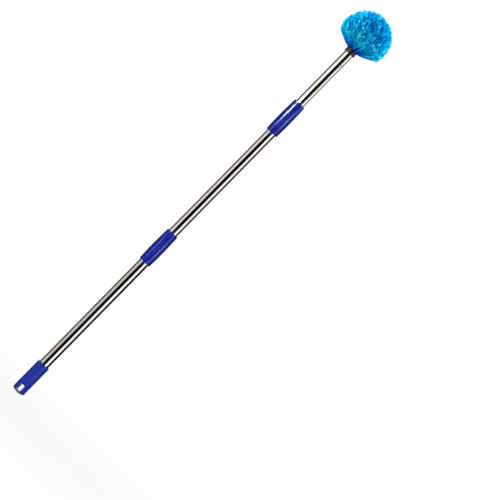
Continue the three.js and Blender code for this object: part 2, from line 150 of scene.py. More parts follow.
# %% [markdown]
# ## The studio
#
# Polished steel has almost no colour of its own: what shows on it is what stands round it. Product
# photographers put white and black cards round a tube, and the tube turns them into long stripes.
# The same is done here. Each card is a piece of a drum round the pole. It shows in reflections
# only, so the background stays white, and it adds no light to the bristles. First come helpers that
# turn arrays of points into meshes, and nodes into materials.

# %% Meshes from arrays


def mesh_object(name, points, faces):
    """A new object from an array of points and an array of faces, all with as many corners."""
    mesh = bpy.data.meshes.new(name)
    mesh.from_pydata(points.reshape(-1, 3), [], faces)
    mesh.update()
    return add(name, mesh)


def grid_faces(rows, columns, closed_rows=False, closed_columns=False):
    """Four-cornered faces between neighbours in a grid of points, numbered row by row. A closed
    side joins its last points to its first."""
    row = np.arange(rows if closed_rows else rows - 1)[:, None]
    column = np.arange(columns if closed_columns else columns - 1)[None, :]
    next_column = (column + 1) % columns
    here, ahead = row * columns, (row + 1) % rows * columns
    corners = [here + column, here + next_column, ahead + next_column, ahead + column]
    return np.stack(corners, axis=-1).reshape(-1, 4)


print("a grid of 3 by 4 points has", len(grid_faces(3, 4)), "faces")

# %% Materials from nodes


def empty_tree(holder):
    """The node tree of a material or a world, with its nodes removed."""
    holder.use_nodes = True
    holder.node_tree.nodes.clear()
    return holder.node_tree


def fill(tree, node, inputs):
    """Fills a node's sockets: another node's output is linked, and a plain value is written."""
    for socket, value in inputs.items():
        if isinstance(value, bpy.types.NodeSocket):
            tree.links.new(value, node.inputs[socket])
        else:
            node.inputs[socket].default_value = value


def add_node(tree, kind, inputs, **settings):
    """Adds a node of a kind, with its settings and then its sockets, and gives its outputs."""
    node = tree.nodes.new("ShaderNode" + kind)
    for key, value in settings.items():
        setattr(node, key, value)
    fill(tree, node, inputs)
    return node.outputs


def maths(tree, operation, first, second):
    """The sum, product or larger one of two values."""
    return add_node(tree, "Math", {0: first, 1: second}, operation=operation)[0]


def mix_shaders(tree, share, first, second):
    """The first shader where the share is 0, the second where it is 1."""
    return add_node(tree, "MixShader", {0: share, 1: first, 2: second})[0]


def glowing(name, seeks):
    """A material that only gives light, in the colour written on the points as "glow". Where seeks
    is on, the renderer aims rays at it, which a small bright strip needs and a dim drum doesn't."""
    material = bpy.data.materials.new(name)
    material.cycles.emission_sampling = "AUTO" if seeks else "NONE"
    tree = empty_tree(material)
    glow = add_node(tree, "Attribute", {}, attribute_name="glow")["Color"]
    emission = add_node(tree, "Emission", {"Color": glow})[0]
    add_node(tree, "OutputMaterial", {"Surface": emission})
    return material


drum_light = glowing("drum_light", False)
strip_light = glowing("strip_light", True)
print("lights on meshes:", drum_light.name, strip_light.name)

# %% Cards round the pole


def card(name, profile, glow, angles, light):
    """A piece of a drum round the pole. The point at angle a, in degrees from the camera's side to
    the right, is r (towards the camera cos a + to the right sin a) + z up, for each r and z of the
    profile. glow has a colour for each point, row by row."""
    angle = np.radians(angles)
    ring = np.outer(np.cos(angle), to_camera) + np.outer(np.sin(angle), to_right)
    profile = np.array(profile)
    points = profile[:, 0, None, None] * ring + profile[:, 1, None, None] * up
    made = mesh_object(name, points, grid_faces(len(profile), len(angles)))
    colours = np.concatenate([glow, np.ones(glow.shape[:2] + (1,))], axis=-1)
    written = made.data.attributes.new("glow", "FLOAT_COLOR", "POINT")
    written.data.foreach_set("color", colours.astype(np.float32).ravel())
    made.data.materials.append(light)
    made.visible_camera = made.visible_diffuse = made.visible_shadow = False
    return made


drum_radius_of_cards = 0.62
camera_height = camera_place[2]


def seen_at(height):
    """The height on the drum that an upright mirror on the pole shows to the camera: the mirror's
    height, plus the drum's radius times the slope of the line from the camera."""
    return height + drum_radius_of_cards * (height - camera_height) / camera_distance


cap_shows = seen_at(box_of("end_cap")[1][2])
lower_grip_shows = [seen_at(corner[2]) for corner in box_of("lower_collar")]
upper_grip_shows = [seen_at(corner[2]) for corner in box_of("upper_collar")]
print("the cap shows the drum up to", round(float(cap_shows), 3), "m")

# %% [markdown]
# The stripes are given as light levels at angles round the drum, read off the tubes: a point of a
# tube at a share t of its radius from the middle shows the card at twice the angle whose sine is
# t. Each tube has its own set, and level with the collars and the cap the drum is dim, so that
# the plastic stays a deep blue.

# %% Stripes for the tubes and the grips
white = np.array([1.25, 1.25, 1.25])
cream = np.array([1.1, 1.06, 0.98])
ivory = np.array([1.0, 0.98, 0.94])
silver = np.array([0.78, 0.77, 0.75])
grey = np.array([0.58, 0.56, 0.53])
soft = np.array([0.28, 0.28, 0.28])
dim = np.array([0.11, 0.10, 0.09])
black = np.array([0.0, 0.0, 0.0])
round_angles = np.linspace(-180, 180, 361)


def stripes(stops):
    """Colours round the drum: a straight change from each (angle, colour) to the next."""
    places = [place for place, _ in stops]
    channels = np.array([colour for _, colour in stops]).T
    return np.stack([np.interp(round_angles, places, channel) for channel in channels], axis=-1)


lower_stripes = stripes([
    (-180, white), (-156, grey), (-146, black), (-95, dim), (-81, grey), (-62, silver),
    (-42, grey), (-33, dim), (-24, black), (26, black), (30, white), (68, white), (78, black),
    (152, black), (158, grey), (180, white),
])
middle_stripes = stripes([
    (-180, white), (-156, grey), (-148, black), (-97, dim), (-83, grey), (-64, ivory),
    (-46, ivory), (-38, 2 * dim), (-24, black), (31, black), (35, white), (75, cream),
    (88, black), (152, black), (158, grey), (180, white),
])
upper_stripes = stripes([
    (-180, white), (-158, grey), (-150, black), (-108, black), (-95, dim), (-83, silver),
    (-70, white), (-30, white), (-19, dim), (-8, black), (29, black), (46, dim), (57, grey),
    (67, white), (96, cream), (116, black), (154, black), (160, grey), (180, white),
])
grip_stripes = stripes([
    (-180, grey), (-162, soft), (-150, black), (-128, black), (-120, dim), (-100, dim),
    (-92, black), (-72, soft), (72, soft), (86, black), (100, dim), (128, dim), (138, black),
    (152, black), (164, soft), (180, grey),
])
print("colours round the drum:", len(round_angles))

# %% The drum
drum_foot_radius = 1 * MM
drum_foot_height = -0.1 * MM
drum_height = 2.4
step = 8 * MM
drum_rows = [
    (drum_foot_height, grip_stripes),
    (cap_shows - 2 * step, grip_stripes),
    (cap_shows - step, lower_stripes),
]
for shows, below, above in (
    (lower_grip_shows, lower_stripes, middle_stripes),
    (upper_grip_shows, middle_stripes, upper_stripes),
):
    drum_rows += [(shows[0], below), (shows[0] + step, grip_stripes)]
    drum_rows += [(shows[1] - step, grip_stripes), (shows[1], above)]
drum_rows.append((drum_height, upper_stripes))
drum_profile = [(drum_foot_radius, drum_foot_height)]
drum_profile += [(drum_radius_of_cards, height) for height, _ in drum_rows]
drum_glow = np.stack([grip_stripes] + [row for _, row in drum_rows])
striped_drum = card("striped_drum", drum_profile, drum_glow, round_angles, drum_light)
print("drum of cards:", len(striped_drum.data.polygons), "faces")

# %% [markdown]
# Plastic mirrors only a few parts in a hundred, so its highlights need something much brighter
# than a card. Upright strips just inside the drum draw them: one each side of a grip, and a short
# one for the glint on the lower collar. A level that changes with the height fades a highlight in.

# %% Bright strips that draw the highlights on the plastic
strip_radius = 0.6
strip_columns = 5
plain_white = (1.0, 1.0, 1.0)
cool_white = (0.9, 1.0, 1.0)
pale_blue = (0.5, 0.88, 1.5)
glint_height = 0.452
glint_reach = 0.035


def strip(name, start, stop, heights, levels, colour):
    """An upright strip from start to stop degrees, with a light level at each of its heights."""
    angles = np.linspace(start, stop, strip_columns)
    profile = [(strip_radius, height) for height in heights]
    glow = np.array(levels)[:, None, None] * np.broadcast_to(colour, (len(levels), len(angles), 3))
    return card(name, profile, glow, angles, strip_light)


def between(heights, *shares):
    """Heights at shares of the way from the first to the second."""
    return [heights[0] + share * (heights[1] - heights[0]) for share in shares]


cap_strip = [0.0, cap_shows - 2 * step]
lower_strip = between(lower_grip_shows, 0.05, 0.95)
upper_strip = between(upper_grip_shows, 0.06, 0.93)
long_strip = between(upper_grip_shows, 0.06, 0.4, 0.95, 1.35)
glint_strip = [glint_height - glint_reach, glint_height, glint_height + glint_reach]
strips = [
    strip("strip_lower_left", -66, -38, lower_strip, [2.6, 2.6], pale_blue),
    strip("strip_glint", -57, -49, glint_strip, [0.0, 40.0, 0.0], plain_white),
    strip("strip_upper_left", -60, -38, long_strip, [2.0, 14.0, 46.0, 46.0], cool_white),
    strip("strip_cap_left", -80, -40, cap_strip, [1.0, 1.0], pale_blue),
    strip("strip_cap_right", 10, 60, cap_strip, [2.0, 2.0], pale_blue),
    strip("strip_lower_right", 47, 71, lower_strip, [5.5, 5.5], pale_blue),
    strip("strip_upper_right", 47, 71, upper_strip, [7.0, 7.0], pale_blue),
]
print("bright strips:", len(strips))

# %% [markdown]
# Lamps light what isn't a mirror. A sun would throw hard shadows, so square lamps are used: a wide
# one in front for the handle, one behind, and small narrow ones beside and over the head, which
# brighten its rim and leave its middle darker. No lamp shows in a reflection, as the cards do that.

# %% Soft lamps
lamp_size = 1.3
head_lamp_size = 0.2
head_height = 1.12
handle_height = 0.42
wide, medium, narrow = 180, 60, 24


def soft_lamp(name, angle, distance, height, watts, size, target, spread):
    """A square lamp at an angle from the camera's side and a distance from the pole, aimed at the
    target's height on the pole. Spread is the angle, in degrees, of the cone that it lights."""
    turn = np.radians(angle)
    place = distance * (np.cos(turn) * to_camera + np.sin(turn) * to_right) + height * up
    lamp = add(name, bpy.data.lights.new(name, "AREA"))
    lamp.data.energy = watts
    lamp.data.size = size
    lamp.data.spread = np.radians(spread)
    aim = Vector(up * target - place)
    stand(lamp, place, aim.to_track_quat("-Z", "Y").to_matrix())
    lamp.visible_glossy = lamp.visible_camera = False
    return lamp


lamps = [
    soft_lamp("lamp_front", -8, 2.4, 0.6, 3.0, lamp_size, handle_height, medium),
    soft_lamp("lamp_back", 180, 2.4, 1.5, 46, lamp_size, part_height / 2, wide),
    soft_lamp("lamp_head_left", -78, 0.95, 1.02, 0.21, head_lamp_size, head_height, narrow),
    soft_lamp("lamp_head_right", 78, 0.95, 0.99, 0.27, head_lamp_size, head_height, narrow),
    soft_lamp("lamp_head_top", 20, 0.18, 1.9, 1.1, 2 * head_lamp_size, head_height, medium),
]
print("lamps:", [lamp.name for lamp in lamps])

# %% [markdown]
# The sky and the floor are white where the camera or a reflection sees them, and a softer light
# grey where they light the duster. The floor mixes a plain white with a real matt surface, so that
# it keeps the duster's shadow near the foot and turns plain white further out, where its edge must
# not show.

# %% Sky
sky_light = 0.31
white_paint = (1, 1, 1, 1)


def seen_directly(tree):
    """1 where the ray comes from the camera, a reflection or something clear, and otherwise 0: the
    largest of the three marks that the light path carries."""
    path = add_node(tree, "LightPath", {})
    seen = maths(tree, "MAXIMUM", path["Is Camera Ray"], path["Is Glossy Ray"])
    return maths(tree, "MAXIMUM", seen, path["Is Transmission Ray"])


world = bpy.data.worlds.new("sky")
bpy.context.scene.world = world
sky = empty_tree(world)
sky_soft = add_node(sky, "Background", {"Color": white_paint, "Strength": sky_light})[0]
sky_bright = add_node(sky, "Background", {"Color": white_paint})[0]
sky_mix = mix_shaders(sky, seen_directly(sky), sky_soft, sky_bright)
add_node(sky, "OutputWorld", {"Surface": sky_mix})
bpy.context.scene.view_settings.view_transform = "Standard"
print("light of the sky:", sky_light)

# %% Floor
floor_size = 24.0
floor_drop = 0.2 * MM
floor_paint = (0.8, 0.8, 0.8, 1)
shadow_reach = 1.4
least_white = 0.86

floor_corners = np.array([[-1, -1, 0], [1, -1, 0], [1, 1, 0], [-1, 1, 0]]) * floor_size / 2
floor = mesh_object("floor", floor_corners - up * floor_drop, np.array([[0, 1, 2, 3]]))
floor_material = bpy.data.materials.new("floor")
ground = empty_tree(floor_material)
matt = add_node(ground, "BsdfDiffuse", {"Color": floor_paint})[0]
flat_white = add_node(ground, "Emission", {})[0]
place_on_floor = add_node(ground, "TexCoord", {})["Object"]
from_foot = add_node(ground, "VectorMath", {0: place_on_floor}, operation="LENGTH")["Value"]
fade_sockets = {"Value": from_foot, "From Max": shadow_reach, "To Min": least_white}
fade = add_node(ground, "MapRange", fade_sockets)["Result"]
white_share = maths(ground, "MULTIPLY", seen_directly(ground), fade)
floor_mix = mix_shaders(ground, white_share, matt, flat_white)
add_node(ground, "OutputMaterial", {"Surface": floor_mix})
floor.data.materials.append(floor_material)
print("floor:", floor_size, "m wide")

# %% [markdown]
# ## Finishes
#
# One flat colour makes a thing look like a toy. Steel has fine lines from drawing, moulded plastic
# has a faint orange peel and flow marks, and a satin surface has a fine grain. Each finish below is
# a small network: a noise in the object's own coordinates moves the colour, the roughness and a
# shallow bump. Image textures would do too, but a formula has no seams and no file to lose.

# %% Helpers for finishes
noise_roughness = 0.55


class Finish:
    """A node material round one Principled shader, with short calls for what finishes share."""

    def __init__(self, name, colour, metallic=0.0):
        self.material = bpy.data.materials.new(name)
        self.material.use_nodes = True
        self.tree = self.material.node_tree
        self.shader = self.tree.nodes["Principled BSDF"]
        self.colour = colour
        self.set("Base Color", (*colour, 1))
        self.set("Metallic", metallic)

    def set(self, socket, value):
        """Gives a socket of the shader a value, or links another node's output to it."""
        fill(self.tree, self.shader, {socket: value})

    def noise(self, scale, detail=3.0):
        """A noise in object coordinates. scale is (x, y, z): the waves to the metre each way."""
        place = add_node(self.tree, "TexCoord", {})["Object"]
        scaled = add_node(self.tree, "Mapping", {"Scale": scale, "Vector": place})["Vector"]
        look = {"Scale": 1.0, "Detail": detail, "Roughness": noise_roughness, "Vector": scaled}
        return add_node(self.tree, "TexNoise", look)["Fac"]

    def spread(self, value, low, high, start=0.3, stop=0.7):
        """low + (high - low) times the share of the way from start to stop, kept in that range.
        The values of a noise crowd round a half, hence the start and stop."""
        ends = {"From Min": start, "From Max": stop, "To Min": low, "To Max": high}
        return add_node(self.tree, "MapRange", {**ends, "Value": value})["Result"]

    def rough(self, value, low, high):
        """A roughness that follows value, from low to high."""
        self.set("Roughness", self.spread(value, low, high))

    def scaled(self, colour, factor):
        """A colour times a factor."""
        sockets = {0: colour, "Scale": factor}
        return add_node(self.tree, "VectorMath", sockets, operation="SCALE")["Vector"]

    def shade(self, value, darker, lighter):
        """The finish's colour times a factor that follows value, from darker to lighter."""
        factor = self.spread(value, darker, lighter)
        self.set("Base Color", self.scaled(self.colour, factor))

    def bump(self, value, height):
        """A bump whose full height is given in metres."""
        sockets = {"Distance": height, "Strength": 1.0, "Height": value}
        self.set("Normal", add_node(self.tree, "Bump", sockets)["Normal"])


print("roughness of every noise:", noise_roughness)

# %% [markdown]
# ### Polished steel
#
# The tubes are drawn and polished, which leaves hair lines along them and faint smudges. A noise
# stretched along the pole gives the lines, and a coarse one the smudges. Both move the roughness
# only a little, because the steel has to stay a mirror for the cards.

# %% Polished steel
steel = Finish("polished_steel", (0.82, 0.80, 0.77), 1.0)
drawn_lines = steel.noise((1500, 1500, 2), 2.0)
smudges = steel.noise((38, 38, 24), 2.0)
line_roughness = steel.spread(drawn_lines, 0.035, 0.065)
smudge_roughness = steel.spread(smudges, 0.0, 0.03)
steel.set("Roughness", maths(steel.tree, "ADD", line_roughness, smudge_roughness))
steel.shade(smudges, 0.95, 1.03)
steel.bump(drawn_lines, 0.0008 * MM)
print("finish:", steel.material.name)

# %% [markdown]
# ### Plastics
#
# Everything moulded has slow flow marks in its colour and a fine grain in its surface, so one
# function makes all the plastics. The collars came out of a polished mould, the blue cap out of a
# duller one, and the black block has a satin grain. A coat could give the gloss, but plain moulded
# plastic has none: a low roughness is enough. The lock parts' nylon also lets some light in.

# %% Moulded plastics
peel_roughness_ends = np.array([0.93, 1.07])
blue_specular = 0.45
black_specular = 0.75
black_paint = (0.004, 0.004, 0.0045)


def moulded(name, colour, cloud, shades, grain, roughness, grain_height, detail=3.0):
    """A coarse noise moves the colour between two shades. A fine one moves the roughness between
    two values and raises the surface."""
    made = Finish(name, colour)
    made.shade(made.noise(cloud), *shades)
    fine = made.noise((grain, grain, grain), detail)
    made.rough(fine, *roughness)
    made.bump(fine, grain_height * MM)
    return made


def blue(name, colour, roughness, peel_height):
    """Royal blue with an orange peel, which moves the roughness a little down and up."""
    ends = roughness * peel_roughness_ends
    made = moulded(name, colour, (30, 30, 9), (0.9, 1.1), 420, ends, peel_height, 2.0)
    made.set("Specular IOR Level", blue_specular)
    return made


def nylon(name, colour):
    """Cloudy nylon, which light enters for less than a millimetre."""
    made = moulded(name, colour, (140, 140, 90), (0.88, 1.08), 1200, (0.44, 0.58), 0.01)
    made.set("Subsurface Weight", 0.1)
    made.set("Subsurface Radius", (0.8 * MM, 0.7 * MM, 0.6 * MM))
    return made


glossy_blue = blue("glossy_blue_plastic", (0.0055, 0.017, 0.38), 0.15, 0.0003)
satin_blue = blue("satin_blue_plastic", (0.011, 0.031, 0.43), 0.2, 0.001)
satin_black = moulded(
    "satin_black_plastic", black_paint, (120, 120, 60), (0.8, 1.25), 1500, (0.27, 0.35), 0.0008
)
satin_black.set("Specular IOR Level", black_specular)
pale_nylon = nylon("pale_nylon", (0.72, 0.70, 0.63))
grey_nylon = nylon("grey_nylon", (0.27, 0.29, 0.31))
plastics = [glossy_blue, satin_blue, satin_black, pale_nylon, grey_nylon]
print("plastics:", [plastic.material.name for plastic in plastics])

# %% [markdown]
# ### Plated steel
#
# The screw and the lock's metal parts are zinc plated: patchier and duller than the tubes. One
# noise moves both the colour and the roughness, because a dull patch is also a paler one.

# %% Plated steel
plated_steel = Finish("plated_steel", (0.74, 0.74, 0.72), 1.0)
plated_cloud = plated_steel.noise((400, 400, 400), 4.0)
plated_steel.shade(plated_cloud, 0.85, 1.05)
plated_steel.rough(plated_cloud, 0.16, 0.32)
plated_steel.bump(plated_steel.noise((1600, 1600, 1600)), 0.005 * MM)
print("finish:", plated_steel.material.name)

# %% [markdown]
# ## Turned pieces
#
# Tubes, collars, the cap and the brush block are round. The solids have flat facets, which is
# right for working out fits but shows in a highlight. Each is turned again here from its outline.
# An outline could be drawn as a curve and spun by a modifier. Here its corners are rounded by a
# formula, and a point beside each end of a round keeps the flat next to it flat when shaded smooth.

# %% Outlines with rounded corners
same_place = 1e-7


def bent(start, middle, stop, share):
    """The point at each share t of a bent line: (1-t)^2 start + 2t(1-t) middle + t^2 stop."""
    return (1 - share) ** 2 * start + 2 * share * (1 - share) * middle + share**2 * stop


def rounded(corners, rounds, steps=5, hold=0.15 * MM):
    """A line of (radius, height) corners with each inner corner rounded: bent round the corner
    from the point that lies the round's length before it to the point as far after it."""
    corners = np.array(corners, float)
    length = np.array(rounds, float)[:, None]
    point = corners[1:-1]
    back = unit(corners[:-2] - point)
    ahead = unit(corners[2:] - point)
    share = np.linspace(0, 1, steps + 1)[None, :, None]
    start = (point + back * length)[:, None, :]
    stop = (point + ahead * length)[:, None, :]
    curve = bent(start, point[:, None, :], stop, share)
    held = np.where(length > 0, hold, 0.0)
    before = (point + back * (length + held))[:, None, :]
    after = (point + ahead * (length + held))[:, None, :]
    inner = np.concatenate([before, curve, after], axis=1).reshape(-1, 2)
    line = np.concatenate([corners[:1], inner, corners[-1:]])
    moved = np.linalg.norm(np.diff(line, axis=0), axis=1) > same_place
    return line[np.concatenate([[True], moved])]


def clean(made, closes_ends=False):
    """Merges doubled points, as at a pole, closes open ends where that is asked, turns all faces
    outward and shades them smooth."""
    work = bmesh.new()
    work.from_mesh(made.data)
    bmesh.ops.remove_doubles(work, verts=work.verts, dist=0.001 * MM)
    if closes_ends:
        bmesh.ops.holes_fill(work, edges=work.edges)
    bmesh.ops.recalc_face_normals(work, faces=work.faces)
    work.to_mesh(made.data)
    work.free()
    made.data.shade_smooth()
    return made


def turned(name, line, sides):
    """Turns an outline round the pole: (r, z) goes to (r cos a, r sin a, z). An outline that ends
    where it starts makes a pipe, and one that starts and ends on the axis makes a solid."""
    closed = np.allclose(line[0], line[-1])
    line = line[:-1] if closed else line
    angle = np.arange(sides) * TURN / sides
    radius = line[:, 0][:, None]
    height = np.broadcast_to(line[:, 1][:, None], (len(line), sides))
    points = np.stack([radius * np.cos(angle), radius * np.sin(angle), height], axis=-1)
    return clean(mesh_object(name, points, grid_faces(len(line), sides, closed, True)))


def paint(made, finish):
    """Gives a piece or a solid a finish in place of the one that it has."""
    made.data.materials.clear()
    made.data.materials.append(finish.material)


def dress(made, finish, slot, body, *nodes):
    """Gives a piece its finish and the body it rides on, and hides the solids it stands for. The
    slot is not used.
    """
    paint(made, finish)
    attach(made, body)
    if nodes:
        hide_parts(*nodes)
    return made


print("one rounded corner has", len(rounded([(0, 0), (1, 0), (1, 1)], [0.1])) - 2, "points")

# %% [markdown]
# ### Tubes
#
# The three tubes are thin stainless steel with a slightly rounded rim. The outline goes up the
# outside, over the rim and down the bore, so that the wall has its real thickness.

# %% Tubes
tube_wall = 0.4 * MM
tube_rim_round = 0.14 * MM
round_sides = 128


def steel_tube(node, body):
    """A pipe as long and wide as its solid. Its outline starts half-way up the outside, goes over
    the rim, down the bore, round the foot and up to the start."""
    (_, _, foot), (outside, _, rim) = box_of(node)
    bore = outside - tube_wall
    middle = (foot + rim) / 2
    corners = [
        (outside, middle), (outside, rim), (bore, rim),
        (bore, foot), (outside, foot), (outside, middle),
    ]
    line = rounded(corners, [tube_rim_round] * 4, steps=3, hold=0.1 * MM)
    pipe = turned(f"{node}_polished", line, round_sides)
    return dress(pipe, steel, "tube_steel", body, node)


tube_bodies = {"lower_tube": "handle", "middle_tube": "middle_section", "top_tube": "top_section"}
for node, body in tube_bodies.items():
    tube = steel_tube(node, body)
    print(tube.name, "radius", round(box_of(node)[1][0] / MM, 2), "mm")

# %% [markdown]
# ### Collars
#
# A collar is a moulded grip on a tube's mouth. Its outside swells to a belly and draws in to the
# ends, which catches the long highlight. Two half parabolas that meet at the belly give that line.

# %% Collars
collar_wall_at_foot = 2.1 * MM
collar_wall_at_belly = 2.95 * MM
collar_wall_at_mouth = 1.8 * MM
collar_belly_share = 0.42
collar_grip_depth = 62.3 * MM
collar_end_round = 1.4 * MM
collar_bore_round = 0.4 * MM
collar_rows = 40
clearance = 0.3 * MM


def collar_radius(share, belly_radius):
    """Radius at a share of the height: the belly's, less the drop to the end times the square of
    the distance from the belly, as a share of the distance from the belly to that end."""
    below = share < collar_belly_share
    drop = collar_wall_at_belly - np.where(below, collar_wall_at_foot, collar_wall_at_mouth)
    reach = np.where(below, collar_belly_share, 1 - collar_belly_share)
    return belly_radius - drop * ((share - collar_belly_share) / reach) ** 2


def bore_round(tube):
    """The radius of a bore that a tube slides in: the tube's own, and the clearance."""
    return box_of(tube)[1][0] + clearance


def blue_collar(node, outer_tube, inner_tube, body):
    """A collar whose outline starts half-way up the barrel, goes over the mouth, down the narrow
    bore round the inner tube, out to the wide bore on the outer tube, round the foot and up."""
    low, high = box_of(node)
    grip_bore = bore_round(outer_tube)
    guide_bore = bore_round(inner_tube)
    ledge = low[2] + collar_grip_depth
    share = np.linspace(0, 1, collar_rows)
    height = low[2] + share * (high[2] - low[2])
    barrel = list(zip(collar_radius(share, high[0]), height))
    half = collar_rows // 2
    corners = [
        *barrel[half:], (guide_bore, high[2]), (guide_bore, ledge),
        (grip_bore, ledge), (grip_bore, low[2]), *barrel[:half + 1],
    ]
    edges = [collar_end_round, collar_bore_round, 0, 0, collar_bore_round, collar_end_round]
    rounds = [0] * (collar_rows - half - 2) + edges + [0] * (half - 1)
    grip = turned(f"{node}_grip", rounded(corners, rounds, steps=6), round_sides)
    return dress(grip, glossy_blue, "grip_plastic", body, node)


lower_grip = blue_collar("lower_collar", "lower_tube", "middle_tube", "handle")
upper_grip = blue_collar("upper_collar", "middle_tube", "top_tube", "middle_section")
print("collars:", lower_grip.name, upper_grip.name)

# %% [markdown]
# ### End cap
#
# The end cap is a straight grip with a domed end. The hanging slot goes right through it, and its
# edge is rounded so that a hook slides in. A boolean modifier cuts it. The cutter isn't a plain
# block: near the surface it widens along a quarter circle, so the edge follows the round cap.

# %% Turn the cap
cap_dome_rise = 4.5 * MM
cap_heel_round = 0.85 * MM
cap_mouth_round = 0.72 * MM
cap_bore_round = 0.4 * MM
cap_dome_rows = 24
cap_wall_rows = 89
cap_sides = 160
socket_floor = 25.5 * MM
cap_high = box_of("end_cap")[1]
cap_radius = cap_high[0]
socket_radius = bore_round("lower_tube")
dome_curve_radius = (cap_radius**2 + cap_dome_rise**2) / (2 * cap_dome_rise)
dome_radii = np.linspace(0, cap_radius, cap_dome_rows)
dome_heights = dome_curve_radius - np.sqrt(dome_curve_radius**2 - dome_radii**2)
wall_heights = np.linspace(cap_dome_rise, cap_high[2], cap_wall_rows + 1)[1:]
cap_corners = [
    *zip(dome_radii, dome_heights),
    *((cap_radius, height) for height in wall_heights),
    (socket_radius, cap_high[2]),
    (socket_radius, socket_floor),
    (0.0, socket_floor),
]
cap_rounds = [
    *[0] * (cap_dome_rows - 2), cap_heel_round,
    *[0] * (cap_wall_rows - 1), cap_mouth_round, cap_bore_round, 0,
]
cap = turned("end_cap_grip", rounded(cap_corners, cap_rounds, hold=0.05 * MM), cap_sides)
print("cap faces before the slot:", len(cap.data.polygons))

# %% Cut the slot
slot_half_width = 5.8 * MM
slot_low = 5.3 * MM
slot_high = 22.2 * MM
slot_corner = 2.0 * MM
slot_edge_round = 0.55 * MM
slot_corner_points = 24
slot_edge_angles = np.radians(np.linspace(90, 12, 7))
cutter_overrun = 2 * MM


def slot_outline():
    """Points and outward directions of a rectangle with round corners: each corner's quarter
    circle, one after the other, with the straight sides between them."""
    share = np.linspace(0, 1, slot_corner_points)
    angle = (np.arange(4)[:, None] + share[None, :]) * TURN / 4
    middle_height = (slot_low + slot_high) / 2
    reach_x = slot_half_width - slot_corner
    reach_z = (slot_high - slot_low) / 2 - slot_corner
    side_x = np.array([1, -1, -1, 1])[:, None]
    side_z = np.array([1, 1, -1, -1])[:, None]
    outward = np.stack([np.cos(angle), np.sin(angle)], axis=-1).reshape(-1, 2)
    x = side_x * reach_x + slot_corner * np.cos(angle)
    z = side_z * reach_z + middle_height + slot_corner * np.sin(angle)
    return np.column_stack([x.ravel(), z.ravel()]), outward


def slot_cutter():
    """Rings of the slot's outline along Y. Below the surface by d = round (1 - cos s), a ring
    stands out by w = round (1 - sin s), for the edge angles s, and the first and last rings lie
    outside."""
    outline, outward = slot_outline()
    angle = slot_edge_angles
    wide = np.concatenate([slot_edge_round * (1 - np.sin(angle)), [slot_edge_round]])
    deep = np.concatenate([slot_edge_round * (1 - np.cos(angle)), [-cutter_overrun]])
    surface = np.sqrt(cap_radius**2 - outline[:, 0] ** 2)
    ring = outline[None, :, :] + wide[:, None, None] * outward[None, :, :]
    depth = surface[None, :] - deep[:, None]
    front, back = (np.stack([ring[..., 0], y, ring[..., 1]], axis=-1) for y in (-depth, depth))
    points = np.concatenate([front[::-1], back])
    faces = grid_faces(len(points), points.shape[1], False, True)
    return clean(mesh_object("slot_cutter", points, faces), closes_ends=True)


def cut(made, cutter):
    """Takes the cutter's shape out of a piece for good, and removes the cutter."""
    boolean = made.modifiers.new("cut", "BOOLEAN")
    boolean.operation = "DIFFERENCE"
    boolean.solver = "EXACT"
    boolean.object = cutter
    bpy.context.view_layer.objects.active = made
    bpy.ops.object.modifier_apply(modifier=boolean.name)
    bpy.data.objects.remove(cutter)
    made.data.shade_smooth()
    return made


cut(cap, slot_cutter())
dress(cap, satin_blue, "grip_plastic", "handle", "end_cap")
print("cap faces with the slot:", len(cap.data.polygons))

# %% [markdown]
# ### Brush block
#
# The block is black satin plastic: a spigot inside the tube, a thin flange on its rim, a groove
# and a short drum. All of that is one outline, turned. The dome on it comes with the bristles.

# %% Turn the block
block_low, block_high = box_of("brush_block")
top_tube_high = box_of("top_tube")[1]
block_foot = top_tube_high[2] + clearance
spigot_radius = top_tube_high[0] - tube_wall - clearance
spigot_bore = spigot_radius - 3.0 * MM
spigot_roof = block_foot - 7.0 * MM
flange_radius = block_high[0]
flange_top = block_foot + 1.6 * MM
drum_radius = flange_radius - 0.8 * MM
drum_top = block_high[2]
groove_radius = drum_radius - 0.6 * MM
groove_top = flange_top + 0.9 * MM
block_corners = [
    (0.0, spigot_roof), (spigot_bore, spigot_roof), (spigot_bore, block_low[2]),
    (spigot_radius, block_low[2]), (spigot_radius, block_foot), (flange_radius, block_foot),
    (flange_radius, flange_top), (groove_radius, flange_top), (groove_radius, groove_top),
    (drum_radius, groove_top), (drum_radius, drum_top), (0.0, drum_top),
]
block_rounds = np.array([0.3, 0.5, 0.8, 0.1, 0.35, 0.5, 0.15, 0.15, 0.25, 0.6]) * MM
block_line = rounded(block_corners, block_rounds, hold=0.08 * MM)
block = turned("brush_block_drum", block_line, round_sides)
dress(block, satin_black, "block_plastic", "top_section", "brush_block")
print("drum:", round(2 * drum_radius / MM, 1), "mm wide")

# %% [markdown]
# ### Head screw
#
# A pan head screw goes through the top tube into the spigot and keeps the brush on. It is turned
# too, and a cross with tapered wings is cut into its head. All this is done with the screw standing
# on the origin, and one matrix then lays it on to the tube.

# %% The screw's direction, read from its solid
outer_points = 8
screw_low, screw_high = box_of("head_screw")
screw_height = (screw_low[2] + screw_high[2]) / 2
screw_points = np.array([v.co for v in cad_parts["head_screw"].data.vertices])
farthest = np.linalg.norm(screw_points[:, :2], axis=1).argsort()[-outer_points:]
screw_direction = unit(screw_points[farthest][:, :2].mean(axis=0))
screw_turn = float(np.arctan2(screw_direction[1], screw_direction[0]))
print("screw angle:", round(np.degrees(screw_turn), 1), "degrees from +X")

# %% Turn the screw
screw_head_radius = 3.55 * MM
screw_head_height = 2.1 * MM
screw_head_side_share = 0.55
screw_shank_radius = 2.0 * MM
screw_shank_length = 9.5 * MM
screw_point_length = 1.5 * MM
screw_head_rows = 12
screw_sides = 64

